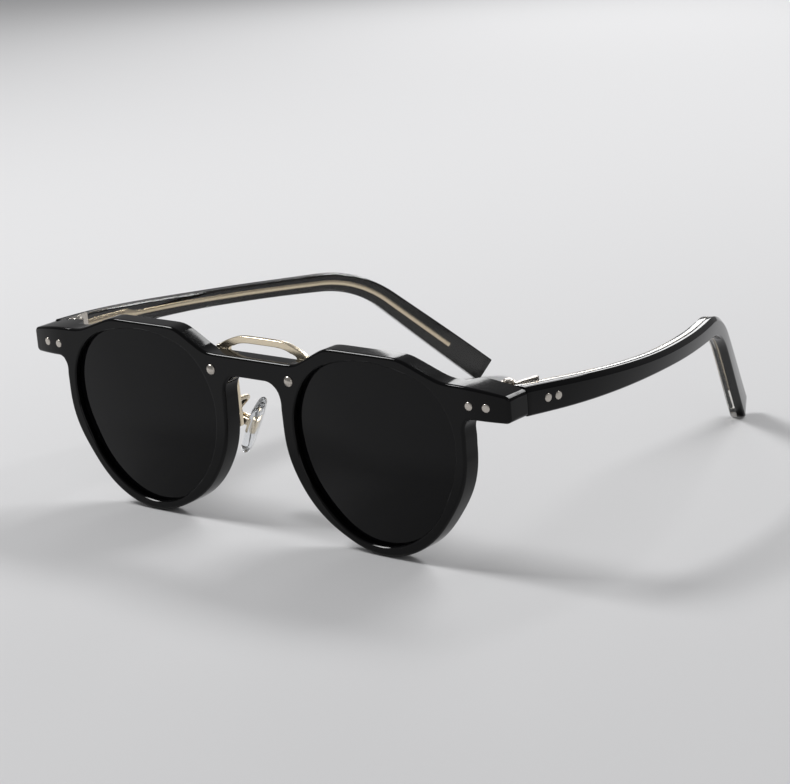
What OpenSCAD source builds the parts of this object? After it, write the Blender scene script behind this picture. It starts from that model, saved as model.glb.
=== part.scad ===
// Sunglasses with a flat black front, a metal arch over the bridge, clear
// nose pads and folding temples with a metal core in a clear inner layer.
// The front is drawn in its own plane, x across, y from the front face
// towards the wearer and z up the front. Then the whole leans forward until
// it stands on the feet of both rims and the tips of both temples.

/* [Front] */
// Width across the endpieces
front_w = 144; // [141:1:149]
// Height of the front at the crowns
front_h = 46; // [45:0.5:48]
// Thickness of the front
front_t = 4.8; // [4.6:0.1:5.4]
// Drop from the crowns to the top of the endpieces
end_fall = 4; // [3:0.5:5]
// Height of the endpieces
end_h = 7.2; // [6.8:0.1:8]
// Depth of the endpieces
end_d = 7.7; // [7.2:0.1:8.6]
// Drop from the crowns to the top of the bridge
bridge_fall = 5; // [4.5:0.5:6]
// Height of the bridge
bridge_h = 4.8; // [4.4:0.1:5.6]
// Width of the opening for the nose
nose_w = 17.2; // [16.4:0.2:18]
// Bevel along the front edge
edge_bevel = 0.7; // [0.4:0.1:0.9]
// Bevel along the back edge
back_bevel = 0.4; // [0.2:0.1:0.6]

/* [Lenses] */
// Width of a lens
lens_w = 45.6; // [44:0.2:46.6]
// Height of a lens
lens_h = 42; // [40:0.5:42.5]
// Distance between the lenses
lens_gap = 24; // [23:0.2:25]
// Height of the rim below a lens
rim_foot = 2.2; // [1.8:0.1:2.6]
// Width of the rim beside a lens at the temple side
rim_side = 2.6; // [2.4:0.1:3.2]
// Thickness of a lens at its edge
lens_t = 2; // [1.8:0.1:2.2]
// Depth of the lens edge behind the front face
lens_set = 2.3; // [2:0.1:2.4]
// Rise of the lens in its middle
lens_dome = 1; // [0.6:0.1:1.6]
// Depth of the groove in the rim
groove = 0.8; // [0.6:0.1:1]
// Bevel around the lens openings
rim_bevel = 0.5; // [0.3:0.1:0.7]
// Gap between a lens and its groove
lens_fit = 0.1; // [0.05:0.05:0.2]

/* [Arch and nose pads] */
// Rise of the metal arch above the bridge
arch_rise = 3.5; // [3:0.1:5]
// Half width of the arch's flat top
arch_flat = 7.3; // [6.5:0.1:8]
// Height of the arch's strip
arch_strip = 1.6; // [1.3:0.1:1.8]
// Thickness of the arch's sheet
arch_t = 1.2; // [1:0.1:1.5]
// Length of the plates below the bridge
plate_l = 13.8; // [10:0.2:15]
// Width of the plates
plate_w = 2.3; // [2:0.1:2.5]
// Length of a nose pad
pad_l = 14.8; // [13:0.2:15.6]
// Width of a nose pad
pad_w = 7.8; // [7:0.2:8.4]
// Thickness of a nose pad
pad_t = 2.3; // [2.1:0.1:2.6]
// Distance from the middle plane to the mount of a pad
pad_x = 10.8; // [10:0.1:12]
// Depth of the mount of a pad behind the front face
pad_y = 11.5; // [11:0.1:13]
// Height of the mount of a pad
pad_z = 21.4; // [20:0.2:23]
// Distance from the middle of a pad up to its mount
pad_drop = 1.2; // [0:0.1:2]
// Angle at which the pads spread downwards
pad_splay = 25; // [22:1:30]
// Angle at which the pads turn towards the wearer
pad_turn = 28; // [24:1:32]
// Angle at which the pads roll in their own plane
pad_roll = 17; // [10:1:20]
// Diameter of the pad arms
arm_dia = 1.1; // [1:0.1:1.3]
// Reach of the pad arms behind the front
arm_reach = 9; // [7:0.5:10]

/* [Temples] */
// Length of a temple from the joint to the tip
temple_l = 146; // [140:1:152]
// Length of a temple before its bend
temple_run = 87; // [83:1:91]
// Length of the bend
bend_l = 21.5; // [18:0.5:26]
// Height of a temple at the joint
root_h = 6.4; // [6:0.1:6.8]
// Height of a temple at its slenderest
mid_h = 4.2; // [3.8:0.1:4.6]
// Height of a temple at its tip
tip_h = 6.9; // [6:0.1:7.5]
// Thickness of the black outer layer
outer_t = 2.1; // [1.9:0.1:2.4]
// Thickness of the clear inner layer
liner_t = 1.8; // [1.7:0.1:2.1]
// Width of the bevel along the top of the outer face
top_bevel = 1.1; // [0.8:0.1:1.2]
// Bevel along the temples' other edges
side_bevel = 0.35; // [0.2:0.05:0.5]
// Outward angle of a temple at the joint
splay = 10; // [8:1:13]
// Inward angle of a temple at its tip
tuck = 24; // [21:1:27]
// Angle added in the middle by the outward bow
bow = 48; // [42:1:52]
// Downward slope of a temple before its bend
run_fall = 4.6; // [4:0.2:5.4]
// Downward slope of the tip
tip_fall = 42; // [38:1:45]
// Thickness of the metal core
core_t = 1; // [0.8:0.1:1.1]
// Height of the core's plate
plate_h = 3.4; // [3:0.1:3.6]
// Height of the core's wire
wire_h = 1.4; // [1.2:0.1:1.8]

/* [Hinges and fasteners] */
// Gap between a temple and its endpiece
joint_gap = 0.25; // [0.2:0.05:0.4]
// Height of a hinge
hinge_h = 5.4; // [5:0.1:5.8]
// Outer diameter of the hinge barrels
barrel_dia = 3; // [2.8:0.1:3.2]
// Thickness of the hinge leaves
leaf_t = 0.9; // [0.8:0.1:1]
// Length of the leaf on a temple
leaf_l = 7.6; // [7:0.2:9]
// Diameter of the hinge screws
hinge_pin = 1.3; // [1.1:0.1:1.4]
// Running gap around the hinge screws
pin_fit = 0.05; // [0.03:0.01:0.08]
// Gap between the hinge barrels
barrel_gap = 0.08; // [0.06:0.01:0.12]
// Diameter of the domed rivet heads beside the bridge
rivet_dia = 2.5; // [2.2:0.1:2.6]
// Diameter of the flat rivet heads
flat_dia = 1.9; // [1.7:0.1:2.3]
// Height of the flat rivet heads above the face
rivet_rise = 0.15; // [0.1:0.05:0.3]
// Height of the domed rivet heads above the face
dome_rise = 0.7; // [0.5:0.1:0.9]
// Diameter of the pad screws
pad_pin = 0.9; // [0.8:0.05:1]

/* [Hidden] */

black = "#0b0b0c";
smoke = "#1a1a1d";
gold = "#bdb3a0";
silver = "#aea8a1";
clear = "#d9d6cf";

// Heights along the front
crown_z = front_h;
end_top = crown_z - end_fall;
end_low = end_top - end_h;
end_z = end_top - end_h / 2;
bridge_top = crown_z - bridge_fall;
bridge_low = bridge_top - bridge_h;
half_w = front_w / 2;
nose_x = nose_w / 2;

// Lens middle
lens_x = (lens_gap + lens_w) / 2;
lens_z = rim_foot + lens_h / 2;
rim_x = lens_x + lens_w / 2 + rim_side;

// Corner of the outline beside a lens and its radius, all in halves of the lens
function by_lens(u, v, r) = [lens_x + u * lens_w / 2, lens_z + v * lens_h / 2, r * lens_w / 2];

// Radii of the front's other corners, and the way from the nose to the crown's foot
nose_r = 4.5;
flank_r = 21;
notch_r = 3.5;
end_r = 1.2;
shoulder = 5;

// Corners of one half of the front, from the nose down and round to the bridge
half_front = [
    [nose_x, bridge_low, nose_r],
    [nose_x, lens_z - 0.169 * lens_h / 2, flank_r],
    by_lens(-0.815, -0.787, 1.136),
    by_lens(-0.047, -1.184, 1.096),
    by_lens(0.623, -0.951, 1.049),
    [rim_x + rim_side * 0.23, lens_z - 0.157 * lens_h / 2, flank_r],
    [rim_x, end_low, notch_r],
    [half_w, end_low, end_r],
    [half_w, end_top, end_r],
    by_lens(0.88, (end_top - lens_z) * 2 / lens_h, 0.518),
    by_lens(0.4, (crown_z - lens_z) * 2 / lens_h, 0.232),
    by_lens(-0.53, (crown_z - lens_z) * 2 / lens_h, 0.232),
    [nose_x + shoulder, bridge_top, shoulder]
];
front_corners = concat(half_front,
    [for (i = [len(half_front) - 1:-1:0]) [-half_front[i].x, half_front[i].y, half_front[i].z]]);

// Corners of a lens
lens_corners = [
    by_lens(-0.36, -1, 0.877), by_lens(0.27, -1.01, 0.877), by_lens(0.74, -0.63, 0.877),
    by_lens(0.99, -0.06, 0.702), by_lens(1.03, 0.42, 0.658), by_lens(0.77, 0.86, 0.57),
    by_lens(-0.06, 1.05, 2.63), by_lens(-0.765, 0.835, 0.57), by_lens(-1.03, 0.3, 0.658),
    by_lens(-0.93, -0.4, 0.965)
];
front_steps = 6;
lens_steps = 5;

// Rivets
dome_r = rivet_dia / 2;
flat_r = flat_dia / 2;
shank_r = rivet_dia * 0.28;
head_d = 1.2;
rivet_fit = 0.02;
rivet_far = 9.7;
rivet_near = 5.45;
end_rivets = [half_w - rivet_far, half_w - rivet_near];
rivet_fall = 0.6;
end_rivet_z = end_z - rivet_fall;
rivet_in = 3.25;
rivet_low = 1.4;
bridge_rivet = [nose_x + rivet_in, (bridge_top + bridge_low) / 2 - rivet_low];

// Hinge leaf let into the endpiece
leaf_edge = 1.5;
leaf_x = [end_rivets[0] - leaf_edge, end_rivets[1] + leaf_edge];
leaf_h = hinge_h;

// Temple path
joint_y = end_d + joint_gap;
root_l = 10;
over = 3;
path_steps = 42;
step_l = (temple_l + over) / path_steps;
start_in = 0.1;
start_low = 0.6;
temple_start = [half_w - start_in - outer_t / cos(splay), joint_y, end_z - start_low];

// Hinge axis
barrel_r = barrel_dia / 2;
hinge_at = 1.2;
barrel_room = 0.2;
swing = barrel_r + barrel_room;
axis = temple_start + along(0) * hinge_at - outward(0) * (liner_t + leaf_t + swing);
hinge_z = end_z;
barrels = 5;
pitch = hinge_h / barrels;

// Core stations and temple rivets, along the temple
plate_at = 3.4;
fan_at = 24;
fan_l = 5;
tip_l = 13;
wire_end = temple_l - tip_l;
rivet_a = 6.3;
rivet_b = 9.3;
temple_rivets = [rivet_a, rivet_b];
slim_at = 55;
widen_at = 70;

// Nose pad screw and box, in the pad's own directions
pad_stand = 1.2;
pad_axis_y = pad_t / 2 + pad_stand;
tongue_t = 0.9;
tongue_r = 0.85;
pad_gap = 0.12;
cheek_t = 0.55;
box_h = 1.7;
box_wall = 0.5;
box_room = 0.2;
box_back = pad_axis_y + tongue_r + box_room + box_wall;
mount_w = 2.8;
mount_h = 3.6;
mount_t = 0.8;

function unit(v) = v / norm(v);
function ease(u) = let (t = max(0, min(1, u))) t * t * (3 - 2 * t);
function wrap(a) = a > 180 ? a - 360 : a < -180 ? a + 360 : a;

// Arc that rounds corner b between its neighbours a and c, moved out by grow
function corner_arc(a, b, c, r, grow, n) =
    let (u = unit(a - b), v = unit(c - b), half = acos(u * v) / 2,
        t = min(r / tan(half), 0.499 * min(norm(a - b), norm(c - b))),
        q = t * tan(half),
        mid = b + unit(u + v) * q / sin(half),
        radius = q + (cross(u, v) < 0 ? grow : -grow),
        p0 = b + u * t - mid, p1 = b + v * t - mid,
        a0 = atan2(p0.y, p0.x), turn = wrap(atan2(p1.y, p1.x) - a0))
    [for (i = [0:n]) mid + radius * [cos(a0 + turn * i / n), sin(a0 + turn * i / n)]];

// Rounded outline through corners given as x, z and radius
function outline(corners, grow = 0, n = 6) =
    let (k = len(corners), flat = [for (c = corners) [c.x, c.y]])
    [for (i = [0:k - 1])
        each corner_arc(flat[(i + k - 1) % k], flat[i], flat[(i + 1) % k],
            corners[i].z, grow, n)];

// An outline stood up at depth y, and one shrunk towards a middle
function at_depth(points, y) = [for (p = points) [p.x, y, p.y]];
function shrunk(points, k, mid) = [for (p = points) mid + k * (p - mid)];

// Solid through rings of equal count, closed at both ends
module loft(rings) {
    n = len(rings[0]);
    m = len(rings);
    polyhedron(points = [for (r = rings) each r], faces = concat(
        [[for (i = [n - 1:-1:0]) i]],
        [for (k = [0:m - 2], i = [0:n - 1])
            let (a = k * n + i, b = k * n + (i + 1) % n)
            each [[a, b, b + n], [a, b + n, a + n]]],
        [[for (i = [0:n - 1]) (m - 1) * n + i]]));
}

// Heading and slope of the temple at length l
function heading(l) =
    let (c = max(0, l - root_l) / (temple_l - root_l))
    -splay + (splay + tuck) * c + bow * c * (1 - c);
function slope(l) = run_fall
    + (tip_fall - run_fall) * max(0, min(1, (l - temple_run) / bend_l));

// Directions of the temple at length l
function along(l) = let (h = heading(l), p = slope(l))
    [-sin(h) * cos(p), cos(h) * cos(p), -sin(p)];
function outward(l) = [cos(heading(l)), sin(heading(l)), 0];
function upward(l) = let (h = heading(l), p = slope(l))
    [-sin(p) * sin(h), sin(p) * cos(h), cos(p)];

// Points of the path, from a little before the joint to the tip
function station(i) = i * step_l - over;
path = [for (i = 0, p = temple_start - along(0) * over; i <= path_steps;
    p = p + along(station(i + 0.5)) * step_l, i = i + 1) p];
function spot(l) =
    let (f = (l + over) / step_l, i = min(path_steps - 1, floor(f)))
    path[i] + (path[i + 1] - path[i]) * (f - i);

// Height of the temple and of its core
function temple_h(l) = mid_h + (root_h - mid_h) * (1 - ease(l / slim_at))
    + (tip_h - mid_h) * ease((l - widen_at) / (temple_l - widen_at));
function core_h(l) = l < fan_at ? plate_h
    : wire_h + (plate_h - wire_h) * (1 - ease((l - fan_at) / fan_l));

// Section points placed on the temple at length l
function placed(l, pts) = let (p = spot(l), a = outward(l), b = upward(l))
    [for (q = pts) p + q.x * a + q.y * b];
function outer_section(l) = let (h = temple_h(l) / 2)
    [[0, -h], [outer_t - side_bevel, -h], [outer_t, side_bevel - h],
        [outer_t, h - top_bevel], [outer_t - top_bevel * 0.75, h], [0, h]];
glue = 0.04;
function liner_section(l) = let (h = temple_h(l) / 2)
    [[-liner_t, side_bevel - h], [side_bevel - liner_t, -h], [-glue, -h],
        [-glue, h], [side_bevel - liner_t, h], [-liner_t, h - side_bevel]];
function core_section(l, side = 0, grow = 0) = let (h = core_h(l) / 2 + grow)
    [[-core_t - grow, -h], [side - glue, -h], [side - glue, h], [-core_t - grow, h]];

// The lowest corner of a tip, and the lean and lift that stand it level
tip_low = spot(temple_l) - upward(temple_l) * tip_h / 2
    - outward(temple_l) * (liner_t - side_bevel);
tip_far = spot(temple_l) + upward(temple_l) * tip_h / 2
    + outward(temple_l) * (outer_t - 0.75 * top_bevel);
foot_z = min([for (p = outline(front_corners)) p.y]);
lean = atan2(foot_z - tip_low.z, tip_low.y - edge_bevel);
lift = -edge_bevel * sin(lean) - foot_z * cos(lean);
y_near = min(-dome_rise * cos(lean) - bridge_rivet.y * sin(lean), -crown_z * sin(lean));
y_far = tip_far.y * cos(lean) - tip_far.z * sin(lean);
y_mid = (y_near + y_far) / 2;

module stand() {
    translate([0, -y_mid, lift]) rotate([lean, 0, 0]) children();
}
module on_side(side) {
    stand() if (side < 0) mirror([1, 0, 0]) children(); else children();
}

// Pin along the depth
module pin(x, z, r, y0, y1) {
    translate([x, y0, z]) rotate([-90, 0, 0]) cylinder(h = y1 - y0, r = r, $fn = 48);
}
// Box between two corners
module block(a, b) {
    translate(a) cube(b - a);
}
// Prism of an outline in the plane of the front
module sheet(points, y0, y1) {
    translate([0, y1, 0]) rotate([90, 0, 0]) linear_extrude(y1 - y0) polygon(points);
}

// Bores of the rivets in the front
module rivet_bore(x, z, y1, r) {
    pin(x, z, r + rivet_fit, -1, head_d);
    pin(x, z, shank_r + rivet_fit, 0, y1);
}

// Opening of a rim, flared in front and behind, with a groove for the lens
module rim_opening() {
    mid = lens_set + lens_t / 2;
    half = lens_t / 2 + lens_fit;
    cut = 1;
    loft([for (r = [[cut + rim_bevel, -cut], [0, rim_bevel], [0, mid - half], [groove, mid],
        [0, mid + half], [0, front_t - rim_bevel / 2], [cut + rim_bevel / 2, front_t + cut]])
        at_depth(outline(lens_corners, r[0], lens_steps), r[1])]);
}

module endpiece() {
    ramp = 1.6;
    heel = 0.8;
    low = front_t - 1;
    intersection() {
        translate([0, 0, end_low]) linear_extrude(end_h)
            polygon([[rim_x - ramp, low], [rim_x, end_d - heel], [rim_x + heel, end_d],
                [half_w - back_bevel, end_d], [half_w, end_d - back_bevel], [half_w, low]]);
        sheet(outline([[rim_x - 2 * ramp, end_low, 0.1], [half_w, end_low, end_r],
            [half_w, end_top, end_r], [rim_x - 2 * ramp, end_top, 0.1]]), low, end_d);
    }
}

module front_frame() {
    color(black) stand() difference() {
        union() {
            loft([for (r = [[-edge_bevel, 0], [0, edge_bevel], [0, front_t - back_bevel],
                [-back_bevel, front_t]])
                at_depth(outline(front_corners, r[0], front_steps), r[1])]);
            endpiece();
            mirror([1, 0, 0]) endpiece();
        }
        for (s = [0, 1]) mirror([s, 0, 0]) {
            rim_opening();
            for (x = end_rivets) rivet_bore(x, end_rivet_z, end_d + 1, flat_r);
            rivet_bore(bridge_rivet.x, bridge_rivet.y, front_t + 1, dome_r);
            block([leaf_x[0] - rivet_fit, end_d - leaf_t, hinge_z - leaf_h / 2 - rivet_fit],
                [leaf_x[1] + rivet_fit, end_d + 1, hinge_z + leaf_h / 2 + rivet_fit]);
        }
    }
}

// Lens with a domed face and a ridge that sits in the groove
module lens() {
    mid = [lens_x, lens_z];
    edge = outline(lens_corners, -lens_fit, lens_steps);
    levels = [0.3, 0.62, 0.85];
    function dome(k) = lens_dome * (1 - k * k);
    loft(concat(
        [for (k = levels) at_depth(shrunk(edge, k, mid), lens_set - dome(k))],
        [at_depth(edge, lens_set),
            at_depth(outline(lens_corners, groove - lens_fit, lens_steps), lens_set + lens_t / 2),
            at_depth(edge, lens_set + lens_t)],
        [for (i = [len(levels) - 1:-1:0]) let (k = levels[i])
            at_depth(shrunk(edge, k, mid), lens_set + lens_t - dome(k))]));
}
module left_lens() {
    color(smoke) on_side(1) lens();
}
module right_lens() {
    color(smoke) on_side(-1) lens();
}

// Arch over the bridge with a plate down the back of each rim
arch_top = bridge_top + arch_rise;
plate_in = nose_x + 0.2;
plate_out = plate_in + plate_w;
plate_low = bridge_low - plate_l;
plate_slant = 0.5;
arch_foot = [bridge_rivet.x + 2.6, bridge_top + 0.6];
arm_x = plate_in + plate_w * 0.6;
arm_drop = 7.5;
half_arch = [
    [arch_flat - 0.5, arch_top - arch_strip, 3.5],
    [plate_out, bridge_top, 0.8],
    [plate_in + plate_slant, bridge_top - rivet_low, 0.8],
    [plate_in, plate_low, 0.6],
    [plate_out, plate_low + plate_slant, 1.2],
    [plate_out, bridge_low - 1, 2],
    [bridge_rivet.x + 1.7, bridge_low, 1.2],
    [arch_foot.x, arch_foot.y, 1.4],
    [arch_flat, arch_top, 4.5]
];
module nose_bridge() {
    full = concat(half_arch, [for (i = [len(half_arch) - 1:-1:0])
        [-half_arch[i].x, half_arch[i].y, half_arch[i].z]]);
    color(gold) stand() difference() {
        sheet(outline(full, 0, 5), front_t, front_t + arch_t);
        for (s = [-1, 1])
            pin(s * bridge_rivet.x, bridge_rivet.y, shank_r + rivet_fit, front_t - 1,
                front_t + arch_t + 1);
    }
}

// Rivet whose head shows on a face at y0 and whose shank ends at y1
module rivet(x, z, rise, y1, domed = false) {
    translate([x, 0, z]) rotate([-90, 0, 0]) rotate_extrude($fn = 48)
        polygon(domed
            ? concat([for (i = [0:6]) let (a = i * 15) [dome_r * sin(a), -rise * cos(a)]],
                [[dome_r, head_d], [shank_r, head_d], [shank_r, y1], [0, y1]])
            : [[0, -rise], [flat_r - rise, -rise], [flat_r, 0], [flat_r, head_d],
                [shank_r, head_d], [shank_r, y1], [0, y1]]);
}
module bridge_rivets() {
    color(silver) stand() for (s = [-1, 1])
        rivet(s * bridge_rivet.x, bridge_rivet.y, dome_rise, front_t + arch_t + 0.2, true);
}
module endpiece_rivets() {
    for (x = end_rivets) rivet(x, end_rivet_z, rivet_rise, end_d);
}
module left_endpiece_rivets() {
    color(silver) on_side(1) endpiece_rivets();
}
module right_endpiece_rivets() {
    color(silver) on_side(-1) endpiece_rivets();
}

// Barrels counted from below, even ones on the front and odd ones on the temple
module barrel(i) {
    translate([axis.x, axis.y, hinge_z - hinge_h / 2 + i * pitch + barrel_gap / 2])
        cylinder(h = pitch - barrel_gap, r = barrel_r, $fn = 48);
}
module hinge_bore(r) {
    translate([axis.x, axis.y, hinge_z - hinge_h]) cylinder(h = 2 * hinge_h, r = r, $fn = 48);
}
module front_hinge() {
    difference() {
        union() {
            block([leaf_x[0], end_d - leaf_t, hinge_z - leaf_h / 2],
                [leaf_x[1], end_d, hinge_z + leaf_h / 2]);
            for (i = [0:2:barrels - 1]) {
                barrel(i);
                block([axis.x - barrel_r, end_d - leaf_t,
                    hinge_z - hinge_h / 2 + i * pitch + barrel_gap / 2],
                    [axis.x + barrel_r * 0.6, axis.y,
                    hinge_z - hinge_h / 2 + (i + 1) * pitch - barrel_gap / 2]);
            }
        }
        hinge_bore(hinge_pin / 2);
        for (x = end_rivets) pin(x, end_rivet_z, shank_r + rivet_fit, 0, end_d + leaf_t);
    }
}
module left_front_hinge() {
    color(silver) on_side(1) front_hinge();
}
module right_front_hinge() {
    color(silver) on_side(-1) front_hinge();
}

// Leaf on the inner face of the temple, with a foot that reaches the core
foot_at = [4.2, 6.6];
foot_h = 2.4;
module at_root() {
    translate([temple_start.x, temple_start.y, hinge_z]) rotate([0, 0, -splay]) children();
}
module foot(grow) {
    at_root() translate([-liner_t - leaf_t / 2, foot_at[0] - grow, -foot_h / 2 - grow])
        cube([liner_t + leaf_t / 2 - core_t - glue, foot_at[1] - foot_at[0] + 2 * grow,
            foot_h + 2 * grow]);
}
module temple_hinge() {
    difference() {
        union() {
            at_root() block([-liner_t - leaf_t, 1.1, -leaf_h / 2], [-liner_t, leaf_l, leaf_h / 2]);
            foot(0);
            for (i = [1:2:barrels - 1]) {
                barrel(i);
                translate([axis.x, axis.y, hinge_z - hinge_h / 2 + i * pitch + barrel_gap / 2])
                    rotate([0, 0, -splay]) translate([0, -barrel_r * 0.2, 0])
                    cube([swing + leaf_t / 2, barrel_r * 1.2, pitch - barrel_gap]);
            }
        }
        hinge_bore(hinge_pin / 2 + pin_fit);
    }
}
module left_temple_hinge() {
    color(silver) on_side(1) temple_hinge();
}
module right_temple_hinge() {
    color(silver) on_side(-1) temple_hinge();
}

module hinge_screw() {
    head = 0.5;
    translate([axis.x, axis.y, hinge_z - hinge_h / 2]) rotate_extrude($fn = 48)
        polygon([[0, 0], [hinge_pin / 2, 0], [hinge_pin / 2, hinge_h - barrel_gap / 2],
            [barrel_r * 0.75, hinge_h - barrel_gap / 2],
            [barrel_r * 0.75, hinge_h + head * 0.6], [barrel_r * 0.45, hinge_h + head],
            [0, hinge_h + head]]);
}
module left_hinge_screw() {
    color(silver) on_side(1) hinge_screw();
}
module right_hinge_screw() {
    color(silver) on_side(-1) hinge_screw();
}

// Everything ahead of the joint is cut away
module past_joint() {
    difference() {
        children();
        block([axis.x - 20, joint_y - 20, end_low - 20], [half_w + 20, joint_y, end_top + 20]);
    }
}
module temple_rivet_bores() {
    for (l = temple_rivets) at_rivet(l) {
        cylinder(h = 4, r = shank_r + rivet_fit, center = true, $fn = 48);
        translate([0, 0, outer_t - head_d]) cylinder(h = 4, r = flat_r + rivet_fit, $fn = 48);
    }
}
// Rivet places, with z outward from the layer between the liner and the outside
module at_rivet(l) {
    p = spot(l);
    translate(p) rotate([0, 90, heading(l)]) children();
}
module outer_layer() {
    difference() {
        past_joint() loft([for (i = [0:path_steps])
            placed(station(i), outer_section(station(i)))]);
        temple_rivet_bores();
    }
}
module left_temple() {
    color(black) on_side(1) outer_layer();
}
module right_temple() {
    color(black) on_side(-1) outer_layer();
}

core_steps = 44;
module core_sweep(side = 0, grow = 0) {
    l0 = plate_at - grow;
    step = (wire_end + grow - l0) / core_steps;
    loft([for (i = [0:core_steps]) let (l = l0 + i * step)
        placed(l, core_section(l, side, grow))]);
}
module core_wire() {
    difference() {
        core_sweep();
        temple_rivet_bores();
    }
}
module left_core_wire() {
    color(gold) on_side(1) core_wire();
}
module right_core_wire() {
    color(gold) on_side(-1) core_wire();
}

module liner() {
    difference() {
        past_joint() loft([for (i = [0:path_steps])
            placed(station(i), liner_section(station(i)))]);
        core_sweep(1, 0.02);
        foot(0.03);
    }
}
module left_temple_liner() {
    color(clear, 0.6) on_side(1) liner();
}
module right_temple_liner() {
    color(clear, 0.6) on_side(-1) liner();
}

module temple_rivet_pair() {
    for (l = temple_rivets) at_rivet(l) rotate_extrude($fn = 48)
        polygon([[0, -core_t], [shank_r, -core_t], [shank_r, outer_t - head_d],
            [flat_r, outer_t - head_d], [flat_r, outer_t], [flat_r - rivet_rise,
            outer_t + rivet_rise], [0, outer_t + rivet_rise]]);
}
module left_temple_rivets() {
    color(silver) on_side(1) temple_rivet_pair();
}
module right_temple_rivets() {
    color(silver) on_side(-1) temple_rivet_pair();
}

// Nose pads, drawn with the face towards -y and turned into place
module at_pad() {
    translate([pad_x, pad_y, pad_z]) rotate([pad_roll, -pad_splay, -pad_turn])
        rotate([0, 0, -90]) children();
}
function by_pad(u, v, r) = [u * pad_w / 2, v * pad_l / 2 - pad_drop, r * pad_w / 2];
pad_corners = [by_pad(-0.82, 1, 0.34), by_pad(-1.06, 0, 2.3), by_pad(-0.66, -1.06, 0.82),
    by_pad(0.48, -1.06, 0.72), by_pad(1, 0.2, 2.3), by_pad(0.84, 1, 0.34)];
pad_steps = 4;
module nose_pad() {
    h = pad_t / 2;
    difference() {
        loft([for (r = [[0.55, -1], [0.8, -0.86], [0.95, -0.5], [1, 0], [0.95, 0.55],
            [0.84, 1]]) at_depth(shrunk(outline(pad_corners, 0, pad_steps), r[0],
                [0, -pad_drop]), r[1] * h)]);
        block([-mount_w / 2 - pad_gap, h - mount_t - pad_gap / 2, -mount_h / 2 - pad_gap],
            [mount_w / 2 + pad_gap, h + 1, mount_h / 2 + pad_gap]);
    }
}
module left_nose_pad() {
    color(clear, 0.5) on_side(1) at_pad() nose_pad();
}
module right_nose_pad() {
    color(clear, 0.5) on_side(-1) at_pad() nose_pad();
}

// Pin across the pad, at the screw
module across(r, w) {
    translate([-w / 2, pad_axis_y, 0]) rotate([0, 90, 0]) cylinder(h = w, r = r, $fn = 32);
}
module pad_mount() {
    h = pad_t / 2;
    difference() {
        union() {
            block([-mount_w / 2, h - mount_t, -mount_h / 2], [mount_w / 2, h, mount_h / 2]);
            block([-tongue_t / 2, h - mount_t / 2, -tongue_r], [tongue_t / 2, pad_axis_y, tongue_r]);
            across(tongue_r, tongue_t);
        }
        across(pad_pin / 2 + pin_fit, 2 * mount_w);
    }
}
module left_pad_mount() {
    color(gold) on_side(1) at_pad() pad_mount();
}
module right_pad_mount() {
    color(gold) on_side(-1) at_pad() pad_mount();
}
cheek_in = tongue_t / 2 + pad_gap;
cheek_out = cheek_in + cheek_t;
module pad_screw() {
    head = 0.35;
    translate([-cheek_out, pad_axis_y, 0]) rotate([0, 90, 0]) rotate_extrude($fn = 32)
        polygon([[0, -head], [pad_pin * 0.8, -head], [pad_pin * 0.8, 0], [pad_pin / 2, 0],
            [pad_pin / 2, 2 * cheek_out], [0, 2 * cheek_out]]);
}
module left_pad_screw() {
    color(silver) on_side(1) at_pad() pad_screw();
}
module right_pad_screw() {
    color(silver) on_side(-1) at_pad() pad_screw();
}

// Turns a direction of the pad into the directions of the front
function pad_turned(v) =
    let (a = pad_roll, b = -pad_splay, c = -pad_turn,
        w = [v.y, -v.x, v.z],
        p = [w.x, w.y * cos(a) - w.z * sin(a), w.y * sin(a) + w.z * cos(a)],
        q = [p.x * cos(b) + p.z * sin(b), p.y, p.z * cos(b) - p.x * sin(b)])
    [q.x * cos(c) - q.y * sin(c), q.x * sin(c) + q.y * cos(c), q.z];
// Points of the arm's bow, from the plate to the back of the box
arm_rise = 0.7;
arm_end = 2.6;
arm_a = [arm_x, front_t + arch_t, bridge_low - arm_drop];
arm_d = [pad_x, pad_y, pad_z] + pad_turned([0, box_back, 0]);
arm_b = arm_a + [0, arm_reach, 0];
arm_c = arm_d + pad_turned([0, arm_end, 0]) + [0, 0, arm_rise];
function bow_at(t) = pow(1 - t, 3) * arm_a + 3 * t * pow(1 - t, 2) * arm_b
    + 3 * t * t * (1 - t) * arm_c + pow(t, 3) * arm_d;
function bow_way(t) = unit(pow(1 - t, 2) * (arm_b - arm_a) + 2 * t * (1 - t) * (arm_c - arm_b)
    + t * t * (arm_d - arm_c));
module arm_wire() {
    steps = 12;
    r = arm_dia / 2;
    loft([for (i = [0:steps]) let (t = i / steps, way = bow_way(t),
        a = unit([1, 0, 0] - way * way.x), b = cross(a, way))
        [for (k = [0:9]) bow_at(t) + r * (cos(k * 36) * a + sin(k * 36) * b)]]);
}
module pad_box() {
    difference() {
        block([-cheek_out, pad_axis_y - tongue_r, -box_h / 2], [cheek_out, box_back, box_h / 2]);
        block([-cheek_in, pad_axis_y - 2 * tongue_r, -box_h],
            [cheek_in, box_back - box_wall, box_h]);
        across(pad_pin / 2, 4 * cheek_out);
    }
}
module pad_arm() {
    arm_wire();
    at_pad() pad_box();
}
module left_pad_arm() {
    color(gold) on_side(1) pad_arm();
}
module right_pad_arm() {
    color(gold) on_side(-1) pad_arm();
}

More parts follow.
